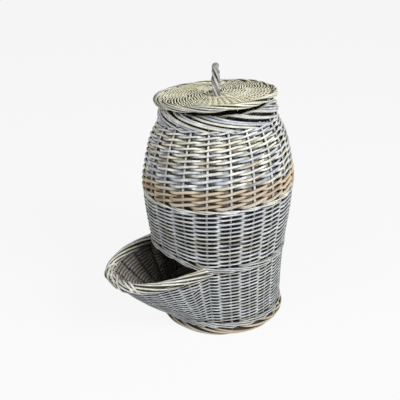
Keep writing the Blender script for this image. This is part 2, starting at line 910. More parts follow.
class NodeBoard:
    """Adds and joins the nodes of one tree, which it empties first."""

    def __init__(self, tree: bpy.types.NodeTree) -> None:
        """Keeps the tree that nodes go to."""
        self.tree = tree
        tree.nodes.clear()

    def add(
        self, kind: str, inputs: dict[str | int, object] | None = None, **settings: object
    ) -> bpy.types.Node:
        """Adds a node, sets its properties and feeds its inputs.

        Args:
            kind: Type name of the node.
            inputs: Values, or sockets to link, by the input's name or number.
            settings: Properties by name.

        Returns:
            The node.
        """
        node = self.tree.nodes.new(kind)
        for label, value in settings.items():
            setattr(node, label, value)
        for label, value in (inputs or {}).items():
            if isinstance(value, Socket):
                self.tree.links.new(value, node.inputs[label])
            else:
                node.inputs[label].default_value = value
        return node

    def attribute(self, name: str) -> Socket:
        """Reads a number that the mesh carries at each point."""
        return self.add("ShaderNodeAttribute", attribute_name=name).outputs["Fac"]

    def math(self, operation: str, first: object, second: object = 0.0) -> Socket:
        """Adds a math node on two values and returns its result."""
        return self.add("ShaderNodeMath", {0: first, 1: second}, operation=operation).outputs[0]

    def times(self, first: object, second: object) -> Socket:
        """Multiplies two values."""
        return self.math("MULTIPLY", first, second)

    def mix(self, factor: object, first: object, second: object) -> Socket:
        """Adds a colour mix and returns its result."""
        return self.add("ShaderNodeMix", {0: factor, 6: first, 7: second}, data_type="RGBA").outputs[2]

    def ramp(self, value: object, limits: Range, ends: Range = (0.0, 1.0)) -> Socket:
        """Adds a clamped map from limits to ends and returns its result."""
        inputs = dict(enumerate((value, *limits, *ends)))
        return self.add("ShaderNodeMapRange", inputs).outputs[0]

    def noise(self, vector: Socket, scale: float, detail: float) -> Socket:
        """Adds a noise texture and returns its value."""
        inputs = {"Vector": vector, "Scale": scale, "Detail": detail}
        return self.add("ShaderNodeTexNoise", inputs).outputs[0]

    @classmethod
    def group(cls, name: str, inputs: Sequence[str], outputs: Sequence[str]) -> "NodeBoard":
        """Starts a node group that takes in and puts out plain numbers.

        Args:
            name: Name of the group.
            inputs: Names of what it takes in.
            outputs: Names of what it puts out.

        Returns:
            The group's board.
        """
        tree = bpy.data.node_groups.new(name, "ShaderNodeTree")
        for way, labels in (("INPUT", inputs), ("OUTPUT", outputs)):
            for label in labels:
                tree.interface.new_socket(label, in_out=way, socket_type="NodeSocketFloat")
        return cls(tree)


@dataclass(frozen=True)
class WillowGrain:
    """The grain of a willow rod, which follows the rod's own UV map."""

    shift: float = 61.0
    slowness: float = 0.55
    streak_detail: float = 3.0
    streak: Range = (0.32, 0.68)
    bud_detail: float = 1.0
    bud: Range = (0.66, 0.74)

    def group(self) -> bpy.types.NodeTree:
        """Builds the grain.

        Noise on (length, cosine and sine of the way round) gives streaks along the rod, and slow
        noise on the length alone gives the places of buds.

        Returns:
            A group that puts out Streak, Bud and Height.
        """
        board = NodeBoard.group("willow_grain", ("Stretch", "Fineness"), ("Streak", "Bud", "Height"))
        inlet = board.add("NodeGroupInput").outputs
        uv = board.add("ShaderNodeUVMap", uv_map="rod")
        parts = board.add("ShaderNodeSeparateXYZ", {0: uv.outputs[0]}).outputs
        shift = board.times(board.attribute("tone"), self.shift)
        along = board.math("ADD", board.times(parts[0], inlet["Stretch"]), shift)
        turn = board.times(parts[1], TAU)
        x, y = (board.times(board.math(way, turn), inlet["Fineness"]) for way in ("COSINE", "SINE"))
        spot = board.add("ShaderNodeCombineXYZ", {0: along, 1: x, 2: y})
        streak = board.noise(spot.outputs[0], 1.0, self.streak_detail)
        slow = board.add("ShaderNodeCombineXYZ", {0: board.times(along, self.slowness), 1: shift})
        bud = board.noise(slow.outputs[0], 1.0, self.bud_detail)
        lines = board.ramp(streak, self.streak)
        board.add("NodeGroupOutput", {"Streak": lines, "Bud": board.ramp(bud, self.bud), "Height": streak})
        return board.tree


@dataclass(frozen=True)
class WornWash:
    """The worn pale wash of weathered willow, in Object coordinates."""

    cloud_scale: float = 42.0
    cloud_detail: float = 4.0
    raggedness: float = 0.18
    full_amount: float = 1.05
    softness: float = 0.22
    open_face: Range = (0.1, 0.6)
    drift_scale: float = 7.0
    drift_detail: float = 2.0
    drift: Range = (0.38, 0.62)

    def group(self) -> bpy.types.NodeTree:
        """Builds the wash.

        Cloudy noise is cut at an amount, and fades where the rod is sunk. A slower noise gives the
        drift between cool and warm parts of the basket.

        Returns:
            A group that puts out Mask and Drift.
        """
        board = NodeBoard.group("worn_wash", ("Sunk", "Amount", "Streak"), ("Mask", "Drift"))
        inlet = board.add("NodeGroupInput").outputs
        spot = board.add("ShaderNodeTexCoord").outputs["Object"]
        cloud = board.noise(spot, self.cloud_scale, self.cloud_detail)
        ragged = board.math("ADD", cloud, board.times(inlet["Streak"], self.raggedness))
        cut = board.math("SUBTRACT", self.full_amount, inlet["Amount"])
        worn = board.ramp(board.math("SUBTRACT", ragged, cut), (0.0, self.softness))
        mask = board.times(worn, board.ramp(inlet["Sunk"], self.open_face, (1.0, 0.0)))
        drift = board.ramp(board.noise(spot, self.drift_scale, self.drift_detail), self.drift)
        board.add("NodeGroupOutput", {"Mask": mask, "Drift": drift})
        return board.tree


@dataclass(frozen=True)
class WillowFinish:
    """One finish of the willow: its rods' tones, its wash and the bare rod behind."""

    name: str
    tones: tuple[Screen, ...]
    cool: Screen
    wash: Screen
    wash_amount: float
    bare: Screen
    crevice: Screen = (32, 28, 23)
    bud: Screen = (74, 60, 44)
    cooling: float = 0.45
    streaking: float = 0.4
    budding: float = 0.6
    tinting: float = 0.3
    inner_face: Range = (0.4, 0.9)
    roughness: Range = (0.55, 0.8)
    specular: float = 0.35
    stretch: float = 26.0
    fineness: float = 3.2
    bump: float = 0.35
    bump_depth: float = 0.0008

    def material(self, grain: bpy.types.NodeTree, wash: bpy.types.NodeTree) -> bpy.types.Material:
        """Builds the material: tones by rod, streaks, drift, wash, buds, crevices and bare inner faces.

        Args:
            grain: The group for the rod's grain.
            wash: The group for the worn wash.

        Returns:
            The material.
        """
        material = bpy.data.materials.new(self.name)
        material.use_nodes = True
        board = NodeBoard(material.node_tree)
        sunk = board.attribute("sunk")
        inputs = {"Stretch": self.stretch, "Fineness": self.fineness}
        fibre = board.add("ShaderNodeGroup", inputs, node_tree=grain).outputs
        inputs = {"Sunk": sunk, "Streak": fibre["Streak"], "Amount": self.wash_amount}
        cover = board.add("ShaderNodeGroup", inputs, node_tree=wash).outputs
        palette = board.add("ShaderNodeValToRGB", {0: board.attribute("tone")})
        self._spread(palette.color_ramp)
        bare = paint(*self.bare)
        cooled = board.mix(board.times(cover["Drift"], self.cooling), palette.outputs[0], paint(*self.cool))
        streaked = board.mix(board.times(fibre["Streak"], self.streaking), cooled, bare)
        washed = board.mix(cover["Mask"], streaked, paint(*self.wash))
        budded = board.mix(board.times(fibre["Bud"], self.budding), washed, paint(*self.bud))
        unwashed = board.mix(self.tinting, bare, streaked)
        turned = board.mix(board.ramp(board.attribute("inner"), self.inner_face), budded, unwashed)
        inputs = {"Strength": self.bump, "Distance": self.bump_depth, "Height": fibre["Height"]}
        relief = board.add("ShaderNodeBump", inputs)
        inputs = {
            "Base Color": board.mix(sunk, turned, paint(*self.crevice)),
            "Roughness": board.ramp(fibre["Streak"], (0.0, 1.0), self.roughness),
            "Specular IOR Level": self.specular,
            "Normal": relief.outputs[0],
        }
        skin = board.add("ShaderNodeBsdfPrincipled", inputs)
        board.add("ShaderNodeOutputMaterial", {0: skin.outputs[0]})
        return material

    def _spread(self, ramp: bpy.types.ColorRamp) -> None:
        """Spaces the tones evenly over the ramp.

        Args:
            ramp: A ramp of two elements.
        """
        last = len(self.tones) - 1
        ramp.elements[0].color = paint(*self.tones[0])
        ramp.elements[1].color = paint(*self.tones[last])
        for index in range(1, last):
            ramp.elements.new(index / last).color = paint(*self.tones[index])


FINISHES = {
    Slot.PALE: WillowFinish(
        name="pale_willow",
        tones=((202, 184, 150), (236, 228, 190), (230, 229, 212), (186, 197, 210), (206, 204, 206)),
        cool=(196, 206, 220),
        wash=(244, 243, 236),
        wash_amount=0.5,
        bare=(112, 97, 76),
    ),
    Slot.GREY: WillowFinish(
        name="blue_grey_willow",
        tones=((170, 165, 150), (194, 198, 197), (220, 225, 226), (204, 210, 220), (222, 219, 203)),
        cool=(178, 189, 201),
        wash=(229, 236, 243),
        wash_amount=0.44,
        bare=(124, 112, 90),
    ),
    Slot.TAN: WillowFinish(
        name="tan_willow",
        tones=((184, 158, 124), (226, 210, 178), (200, 196, 186), (228, 208, 176)),
        cool=(194, 187, 174),
        wash=(230, 222, 202),
        wash_amount=0.34,
        bare=(104, 82, 60),
    ),
    Slot.STICK: WillowFinish(
        name="stake_willow",
        tones=((216, 214, 206), (232, 232, 226), (220, 223, 228)),
        cool=(216, 220, 228),
        wash=(242, 243, 242),
        wash_amount=0.5,
        bare=(120, 106, 86),
    ),
    Slot.LID: WillowFinish(
        name="cream_lid_willow",
        tones=((207, 201, 160), (240, 237, 200), (246, 244, 213), (214, 213, 204), (186, 186, 188)),
        cool=(218, 219, 208),
        wash=(241, 242, 227),
        wash_amount=0.42,
        bare=(112, 100, 72),
    ),
    Slot.HANDLE: WillowFinish(
        name="grey_twisted_willow",
        tones=((118, 116, 111), (204, 203, 198), (150, 149, 146), (226, 225, 219)),
        cool=(164, 167, 170),
        wash=(226, 227, 224),
        wash_amount=0.42,
        bare=(84, 78, 70),
    ),
}


@dataclass(frozen=True)
class Dresser:
    """Makes the materials once and turns bundles into finished pieces."""

    materials: dict[Slot, bpy.types.Material]

    @classmethod
    def prepared(cls) -> "Dresser":
        """Builds the shared groups and one material for each slot."""
        groups = (WillowGrain().group(), WornWash().group())
        return cls({slot: finish.material(*groups) for slot, finish in FINISHES.items()})

    def dress(self, bundle: RodBundle, slot: Slot, nodes: Sequence[str], body: Body = Body.BASKET) -> None:
        """Makes the piece, gives it its finish and puts it in place of its CAD nodes.

        Args:
            bundle: The rods of the piece.
            slot: Material slot of its finish.
            nodes: CAD nodes that it stands for.
            body: Body that it rides on.
        """
        obj = bundle.to_object()
        obj.data.materials.append(self.materials[slot])
        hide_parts(*nodes)
        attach(obj, body.value)
        LOG.info("%s: %d faces, for %d nodes", obj.name, len(obj.data.polygons), len(nodes))


@dataclass
class SideStakes:
    """The upright stakes of the barrel and the scoop."""

    barrel: BarrelWall
    lower: LowerWall
    ring: StakeRing
    lower_ring: StakeRing
    foot: float = 0.006
    top: float = 0.514
    below_hem: float = 0.004
    root_margin: float = math.radians(4)
    depth: float = 0.7
    shadow: float = 0.5
    shadow_top: float = 0.338
    shadow_fade: float = 0.01
    steps: int = 70
    bend: Range = (math.radians(0.35), 9.0)
    taper: Range = (1.05, 0.22)
    knobs: Range = (0.04, 40.0)
    upsett_steps: int = 8
    scoop_steps: int = 44
    scoop_end: float = 0.98
    scoop_radius: float = 0.48
    seed: int = 11

    def build(self, dresser: Dresser) -> None:
        """Lays each stake along its wall, a little out of true.

        Args:
            dresser: Finishes the pieces.
        """
        rng = np.random.default_rng(self.seed)
        backs = [angle for angle in self.ring.angles if not self._over_scoop(angle)]
        fronts = [angle for angle in self.ring.angles if self._over_scoop(angle)]
        scoops = [angle for angle in self.lower_ring.angles if self._over_scoop(angle)]
        lays = {"side": self._upright, "front": self._hanging, "scoop": self._scooped}
        for (kind, lay), angles in zip(lays.items(), (backs, fronts, scoops)):
            bundle = RodBundle(f"{kind}_stakes")
            for angle in angles:
                lay(bundle, angle, rng)
            dresser.dress(bundle, Slot.STICK, numbered(f"{kind}_stake", len(angles)))

    def _over_scoop(self, angle: float) -> bool:
        """Tells whether an angle lies over the scoop's opening."""
        return bool(abs(wrap(angle)) < SCOOP_HALF - self.root_margin)

    def _upright(self, bundle: RodBundle, angle: float, rng: Random, start: float | None = None) -> None:
        """Lays a stake up the barrel, thinner towards the neck, with two small sines for unevenness.

        Args:
            bundle: Where the stake goes.
            angle: Angle that it stands at.
            rng: Source of its small differences.
            start: Height where it starts, or None for the foot.
        """
        foot = self.foot if start is None else start
        height = np.linspace(foot, self.top, self.steps)
        share = (height - foot) / (self.top - foot)
        phase = rng.uniform(0.0, TAU, 2)
        turn = angle + self.bend[0] * np.sin(self.bend[1] * height / self.top + phase[0])
        knob = 1.0 + self.knobs[0] * np.sin(self.knobs[1] * height + phase[1])
        radius = 0.5 * STAKE * (self.taper[0] - self.taper[1] * share) * knob
        path = self.barrel.point(turn, height)
        dark = self.shadow * smooth_step((self.shadow_top - height) / self.shadow_fade)
        outward = self.barrel.outward(turn, height)
        bundle.rod(path, outward, radius, float(rng.random()), self.depth, dark=dark)

    def _hanging(self, bundle: RodBundle, angle: float, rng: Random) -> None:
        """Lays a stake that starts at the hem, over the scoop."""
        self._upright(bundle, angle, rng, float(self.lower.hem(np.array(angle))) - self.below_hem)

    def _scooped(self, bundle: RodBundle, angle: float, rng: Random) -> None:
        """Lays a stake up the upsett and out along the scoop to its lip.

        Args:
            bundle: Where the stake goes.
            angle: Angle that it stands at.
            rng: Source of its tone.
        """
        height = np.linspace(self.foot, self.lower.bottom, self.upsett_steps)[:-1]
        share = np.linspace(0.0, self.scoop_end, self.scoop_steps)
        parts = ((self.lower.upsett, height), (self.lower, share))
        path = np.concatenate([wall.point(np.full_like(level, angle), level) for wall, level in parts])
        out = np.concatenate([wall.outward(np.full_like(level, angle), level) for wall, level in parts])
        radius = self.scoop_radius * STAKE
        bundle.rod(path, out, radius, float(rng.random()), self.depth, dark=self.shadow)


@dataclass
class LowerSide:
    """The upsett, the fine weave of the lower wall and scoop, and the hem above it."""

    barrel: BarrelWall
    lower: LowerWall
    ring: StakeRing
    lower_ring: StakeRing
    rows: int = 33
    rod: float = 0.0040
    thin: float = 0.66
    snap: float = 2.6
    bias: float = 0.22
    slant: float = 0.008
    height_used: float = 0.985
    climb_from: float = 0.75
    first_stake: int = -7
    strides: tuple[int, int] = (6, 14)
    pack_after: tuple[int, ...] = (5, 11, 17, 24)
    pack_ends: tuple[float, ...] = (18.0, 27.0, 18.0, 36.0)
    pack_steps: int = 9
    pack_radius: float = 0.47
    pack_turn: float = 3.4
    fade: float = 3.0
    upsett_middle: float = 0.0268
    upsett_rod: float = 0.0045
    upsett_spacing: float = 0.0068
    upsett_lining: tuple[float, ...] = (0.0157, 0.0231, 0.0305, 0.0379)
    hem_rod: float = 0.0045
    hem_stand: float = 0.0008
    hem_spacing: float = 0.0060
    hem_lining: tuple[float, ...] = (-0.0065, 0.0, 0.0065)
    seed: int = 23

    def build(self, dresser: Dresser) -> None:
        """Makes the three pieces.

        Args:
            dresser: Finishes the pieces.
        """
        rng = np.random.default_rng(self.seed)
        wale = {"period": 4, "front": 3, "longest": 16}
        looks = {"backing": 0.3, "groove": 0.95}
        upsett = RodBundle("upsett_rods")
        reach = 0.5 * (STAKE + self.upsett_rod)
        weaver = Weaver(
            self.lower.upsett, self.lower_ring, upsett, reach, rng, seam=17, tones=(0.85, 1.0), **looks
        )
        weaver.waling(flat(self.upsett_middle), self.upsett_rod, spacing=self.upsett_spacing, **wale)
        weaver.lining([flat(level) for level in self.upsett_lining])
        dresser.dress(upsett, Slot.GREY, ["upsett_wale"])
        fine = RodBundle("lower_wall_rods", sides=7)
        self._fine_weave(fine, rng)
        dresser.dress(fine, Slot.GREY, ["lower_weave"])
        hem = RodBundle("hem_rods")
        reach = 0.5 * (STAKE + self.hem_rod) + self.hem_stand
        weaver = Weaver(self.barrel, self.ring, hem, reach, rng, sway=0.0010, tones=(0.0, 0.4), **looks)
        weaver.waling(self.lower.hem, self.hem_rod, spacing=self.hem_spacing, **wale)
        weaver.lining([self._by_hem(rise) for rise in self.hem_lining])
        dresser.dress(hem, Slot.GREY, ["hem_wale"])

    def _by_hem(self, rise: float) -> LevelOf:
        """Gives a level that follows the hem."""
        return lambda turn: self.lower.hem(turn) + rise

    def _ends(self) -> list[float | None]:
        """Lists the lines from the bottom: None for a full row, the end angle twice for a packing pair."""
        packs = {row: (end, end) for row, end in zip(self.pack_after, self.pack_ends)}
        return [end for row in range(self.rows) for end in (None, *packs.get(row, ()))]

    def _weights(self, turn: Array) -> Array:
        """Gives the room of each line by angle: one, fading to none past a packing row's end stake."""
        reaches = np.array([math.inf if end is None else end + self.fade for end in self._ends()])
        return smooth_step((reaches[:, None] - np.degrees(np.abs(wrap(turn)))) / self.fade)

    def _level(self, line: Array, turn: Array) -> Array:
        """Gives the share of the wall's height where the middle of a line runs.

        The room of the lines below it and half its own is set against the room of all.

        Args:
            line: Line number at each angle.
            turn: Angles round the wall.

        Returns:
            Share from 0 to 1.
        """
        weights = self._weights(turn)
        sums = np.concatenate([np.zeros((1, len(turn))), np.cumsum(weights, axis=0)])
        below = np.take_along_axis(sums, line[None], axis=0)[0]
        own = np.take_along_axis(weights, line[None], axis=0)[0]
        return (below + 0.5 * own) / sums[-1]

    def _lift(self, place: Array) -> Array:
        """Gives how far a rod rises before it passes in front, a sine of the stake number."""
        return self.slant * np.sin(math.pi * (place + RISE_LEAD))

    def _swing(self, place: Array) -> Array:
        """Gives a rod's depth by stake number."""
        return wave(place, self.snap, self.bias)

    def _fine_weave(self, bundle: RodBundle, rng: Random) -> None:
        """Weaves one long spiral of rods, then the packing pairs over the scoop.

        Args:
            bundle: Where the rods go.
            rng: Source of chance.
        """
        ends = self._ends()
        lines = np.array([line for line, end in enumerate(ends) if end is None])
        packs = [line for line, end in enumerate(ends) if end is not None][::2]
        count = self.lower_ring.count
        reach = 0.5 * (STAKE + self.thin * self.rod)
        looks = {"thin": self.thin, "swell": 1.05, "press": 3.8, "groove": 0.6, "spread": 0.06, "sway": 0.002}
        weaver = Weaver(
            self.lower, self.lower_ring, bundle, reach, rng, steps=9, taper=0.15, tones=(0.0, 0.7), **looks
        )

        def level_of(place: Array, turn: Array) -> Array:
            """Climbs by one row in each turn, over the last part of it.

            Args:
                place: Stake numbers.
                turn: Their angles.

            Returns:
                Shares of the wall's height.
            """
            row = np.clip(np.floor(place / count).astype(int), 0, self.rows - 1)
            low = self._level(lines[row], turn)
            high = self._level(lines[np.minimum(row + 1, self.rows - 1)], turn)
            climb = smooth_step((place / count - row - self.climb_from) / (1.0 - self.climb_from))
            return (low + (high - low) * climb) * self.height_used + self._lift(place)

        start = self.first_stake
        total = self.rows * count
        while start < total - 2:
            stride = 2 * int(rng.integers(*self.strides))
            stop = min(start + stride, total - 1 - (total % 2))
            weaver.strand(start, stop, self._swing, level_of, self.rod)
            start = stop
        for line, end in zip(packs, self.pack_ends):
            self._pack(weaver, line, end)

    def _pack(self, weaver: Weaver, line: int, end: float) -> None:
        """Lays a rod to and fro over the scoop, round a stake at each end.

        Args:
            weaver: The weaver of the lower wall.
            line: Line number of its lower row.
            end: Angle of its end stakes, in degrees.
        """
        count = int(end / SCOOP_STEP) * 2 * self.pack_steps + 1
        turn = np.radians(np.linspace(-end, end, count))
        place = np.degrees(turn) / SCOOP_STEP + (line + 1) % 2
        lower, upper = (self._level(np.full(count, number), turn) for number in (line, line + 1))
        beyond = math.radians(end + self.pack_turn)
        middle = 0.5 * (lower[-1] + upper[-1])
        rise = self._lift(place)
        turns = np.concatenate([turn, [beyond], turn[::-1], [-beyond]])
        shares = np.concatenate([lower, [middle], upper[::-1], [middle]]) * self.height_used
        shares += np.concatenate([rise, [0.0], -rise[::-1], [0.0]])
        depths = np.concatenate([self._swing(place), [0.0], self._swing(place + 1.0)[::-1], [0.0]])
        path = self.lower.point(turns, shares, depths * weaver.reach)
        tone = float(weaver.rng.random())
        radius = self.pack_radius * self.rod * self.thin
        weaver.rod(path, self.lower.outward(turns, shares), radius, tone, depths, closed=True)


@dataclass
class BarrelSide:
    """The weave of the barrel above the hem, band by band."""

    barrel: BarrelWall
    lower: LowerWall
    ring: StakeRing
    grey_rows: int = 26
    grey_rod: float = 0.0044
    grey_top: float = 0.3345
    hem_half: float = 0.0068
    wale_middle: float = 0.3398
    wale_rod: float = 0.0043
    wale_stand: float = 0.001
    wale_spacing: float = 0.0044
    tan_reach: float = 0.0064
    tan_levels: tuple[float, ...] = (0.3515, 0.3655, 0.3795)
    tan_rods: tuple[float, ...] = (0.0072, 0.0070, 0.0064)
    pale_reach: float = 0.0058
    pale_bottom: float = 0.3935
    pale_top: float = 0.5030
    pale_rows: int = 10
    pale_narrowing: float = 0.36
    pale_rod_bottom: float = 0.0059
    pale_rod_top: float = 0.0044
    pale_lining: tuple[float, ...] = (0.454, 0.464, 0.474, 0.484, 0.494, 0.504)
    pairing_longest: int = 12
    seed: int = 37

    def build(self, dresser: Dresser) -> None:
        """Makes the four bands.

        Args:
            dresser: Finishes the pieces.
        """
        rng = np.random.default_rng(self.seed)
        grey = RodBundle("lower_barrel_rods", sides=7)
        reach = 0.5 * (STAKE + self.grey_rod)
        weaver = self._weaver(grey, reach, rng, swell=0.8, press=3.3, groove=0.45, slant=0.0014)
        weaver.randing([self._grey_level(row) for row in range(self.grey_rows)], self.grey_rod, longest=14)
        dresser.dress(grey, Slot.GREY, ["lower_barrel_weave"])
        wale = RodBundle("belly_rods")
        reach = 0.5 * (STAKE + self.wale_rod) + self.wale_stand
        weaver = self._weaver(wale, reach, rng, backing=0.3, groove=0.6, tones=(0.3, 0.7))
        middle = flat(self.wale_middle)
        weaver.waling(middle, self.wale_rod, period=3, front=2, longest=20, spacing=self.wale_spacing)
        dresser.dress(wale, Slot.PALE, ["belly_wale"])
        pair = {"steps": 12, "bias": 0.35, "shade": 0.9}
        tan = RodBundle("tan_rods")
        weaver = self._weaver(tan, self.tan_reach, rng, sway=0.0009, press=2.5, glow=0.5, **pair)
        weaver.pairing(self.tan_levels, self.tan_rods, self.pairing_longest)
        dresser.dress(tan, Slot.TAN, ["tan_band"])
        pale = RodBundle("upper_barrel_rods")
        weaver = self._weaver(pale, self.pale_reach, rng, sway=0.001, press=3.3, glow=0.7, swell=0.2, **pair)
        weaver.pairing(*self._pale_rows(), self.pairing_longest)
        weaver.lining([flat(level) for level in self.pale_lining])
        dresser.dress(pale, Slot.PALE, ["upper_barrel_weave"])

    def _weaver(self, bundle: RodBundle, reach: float, rng: Random, **looks: object) -> Weaver:
        """Sets a weaver to work on the barrel's stakes."""
        return Weaver(self.barrel, self.ring, bundle, reach, rng, **looks)

    def _hem_top(self, turn: Array) -> Array:
        """Gives the height of the hem's upper edge."""
        return self.lower.hem(turn) + self.hem_half

    def _grey_level(self, row: int) -> LevelOf:
        """Gives a row's level by angle, its even share of the way from the hem's top to the wale."""
        bottom = self._hem_top
        return lambda turn: bottom(turn) + (self.grey_top - bottom(turn)) * (row + 0.5) / self.grey_rows

    def _pale_rows(self) -> tuple[list[float], list[float]]:
        """Spaces the upper rows closer towards the neck, by a parabola added to even steps.

        Returns:
            Level and rod diameter of each row.
        """
        share = np.linspace(0.0, 1.0, self.pale_rows)
        drawn = share + 0.5 * self.pale_narrowing * share * (1.0 - share)
        levels = self.pale_bottom + (self.pale_top - self.pale_bottom) * drawn
        rods = self.pale_rod_bottom + (self.pale_rod_top - self.pale_rod_bottom) * share
        return levels.tolist(), rods.tolist()


@dataclass
class Borders:
    """The foot, the scoop's lip and the neck, each rolled from long rods."""

    barrel: BarrelWall
    lower: LowerWall
    foot_radius: float = 0.1440
    foot_swell: float = 0.0045
    neck_radius: float = 0.128
    neck_height: float = 0.504
    foot: RolledBorder = RolledBorder(
        rods=17,
        span=math.radians(68),
        diameter=0.0062,
        section=(
            (0.0, 0.06, 0.16, 0.32, 0.52, 0.74, 0.92, 1.0),
            (-0.003, -0.0025, 0.0005, 0.005, 0.0062, 0.0045, -0.001, -0.007),
            (0.02, 0.015, 0.0112, 0.009, 0.0062, 0.004, 0.0036, 0.004),
        ),
        core=(-0.001, 0.007),
        wander=0.06,
    )
    neck: RolledBorder = RolledBorder(
        rods=28,
        span=math.radians(150),
        diameter=0.0064,
        section=(
            (0.0, 0.12, 0.24, 0.36, 0.45, 0.5, 0.55, 0.62, 0.71, 0.81, 0.91, 0.97, 1.0),
            (-0.006, -0.0115, -0.0155, -0.0178, -0.0165, -0.011, -0.0045)
            + (0.0008, 0.0034, 0.0044, 0.0044, 0.003, -0.004),
            (-0.014, -0.004, 0.007, 0.019, 0.029, 0.033, 0.0315)
            + (0.0265, 0.02, 0.0125, 0.0055, -0.001, -0.005),
        ),
        core=(-0.0085, 0.012),
        steps=120,
        unevenness=0.0015,
        wander=0.03,
        backing=1.4,
        groove=0.6,
        tones=(0.35, 1.0),
    )
    lip: RolledBorder = RolledBorder(
        rods=17,
        span=1.20,
        diameter=0.0060,
        section=(
            (0.0, 0.16, 0.32, 0.5, 0.68, 0.84, 1.0),
            (-0.006, -0.0082, -0.0052, 0.001, 0.0066, 0.0084, 0.004),
            (-0.008, -0.001, 0.0056, 0.0076, 0.0044, -0.0034, -0.011),
        ),
        wander=0.04,
        tones=(0.05, 0.6),
    )
    tip: RolledBorder = RolledBorder(
        rods=6,
        span=0.34,
        diameter=0.0068,
        section=(
            (0.0, 0.16, 0.32, 0.5, 0.68, 0.84, 1.0),
            (-0.005, -0.0096, -0.007, 0.001, 0.008, 0.0094, 0.0),
            (-0.012, -0.003, 0.0064, 0.0094, 0.006, -0.0036, -0.012),
        ),
        unevenness=0.0012,
        wander=0.1,
        tones=(0.1, 0.5),
    )
    start_spread: float = 0.22
    lip_end: float = 1.06
    lip_core: float = 0.0040
    lip_step: float = 0.002
    tip_half: float = 0.24
    foot_hoops: tuple[tuple[float, float, float], ...] = (
        (-0.0042, 0.0100, 0.0036),
        (-0.0036, 0.0046, 0.0030),
    )
    hoop_tall: float = 1.4
    core_tone: float = 0.2
    core_dark: float = 0.9
    seed: int = 41

    def build(self, dresser: Dresser) -> None:
        """Makes the three borders.

        Args:
            dresser: Finishes the pieces.
        """
        rng = np.random.default_rng(self.seed)
        foot = RodBundle("foot_border_rods")
        self.foot.lay(foot, self._on_foot, scattered(self.foot.rods, self.start_spread, rng), rng)
        for offset, level, radius in self.foot_hoops:
            self._foot_hoop(foot, offset, level, radius)
        dresser.dress(foot, Slot.TAN, ["foot_border"])
        neck = RodBundle("neck_border_rods")
        self.neck.lay(neck, self._on_neck, scattered(self.neck.rods, self.start_spread, rng), rng)
        dresser.dress(neck, Slot.PALE, ["neck_border"])
        lip = RodBundle("scoop_lip_rods")
        starts = np.linspace(-1.0 - self.lip.span, 1.0, self.lip.rods)
        self.lip.lay(lip, self._on_lip, starts.tolist(), rng, (-self.lip_end, self.lip_end))
        starts = np.linspace(-self.tip_half, self.tip_half, self.tip.rods) - 0.5 * self.tip.span
        self.tip.lay(lip, self._on_lip, starts.tolist(), rng)
        self._lip_core(lip)
        dresser.dress(lip, Slot.PALE, ["scoop_border"])

    def _foot_hoop(self, bundle: RodBundle, offset: float, level: float, radius: float) -> None:
        """Lays a whole dark round of rod inside the foot, where the stakes are pricked in.

        Args:
            bundle: Where the rod goes.
            offset: Offset of the rod from the foot's own radius.
            level: Height of the rod.
            radius: Radius of the rod.
        """
        turn = full_turn()
        path = self._on_foot(turn, offset, level)
        out = around(turn, 0.0)
        bundle.rod(path, out, radius, self.core_tone, tall=self.hoop_tall, dark=self.core_dark, closed=True)

    def _lip_core(self, bundle: RodBundle) -> None:
        """Lays the dark rod that the lip is rolled round.

        Args:
            bundle: Where the rods go.
        """
        share = np.linspace(-self.lip_end, self.lip_end, ROUND_STEPS)
        level = np.zeros_like(share)
        path = self._on_lip(share, level, level)
        out = unit(self._on_lip(share, level + self.lip_core, level) - path)
        bundle.rod(path, out, self.lip_core, self.core_tone, dark=self.core_dark)

    def _on_foot(self, turn: Array, offset: Numbers, level: Numbers) -> Array:
        """Gives points of the foot's ring, which swells towards the scoop by a cosine."""
        radius = self.foot_radius + offset + self.foot_swell * np.clip(np.cos(turn), 0.0, 1.0)
        return around(turn, level, radius) + self.barrel.base_centre()

    def _on_neck(self, turn: Array, offset: Array, level: Array) -> Array:
        """Gives points of the neck, which leans with the rim."""
        return self.barrel.at_radius(turn, self.neck_radius + offset, self.neck_height + level)

    def _on_lip(self, share: Array, offset: Array, level: Array) -> Array:
        """Gives points beside the scoop's lip: offset outwards and level up, square to it.

        Args:
            share: Shares along the lip.
            offset: How far out the points are.
            level: How far up they are.

        Returns:
            The points, one row each.
        """
        along = unit(self.lower.rim(share + self.lip_step) - self.lower.rim(share - self.lip_step))
        out = unit(np.cross(along, np.array([0.0, 0.0, 1.0])))
        up = np.cross(out, along)
        return self.lower.rim(share) + offset[..., None] * out + level[..., None] * up


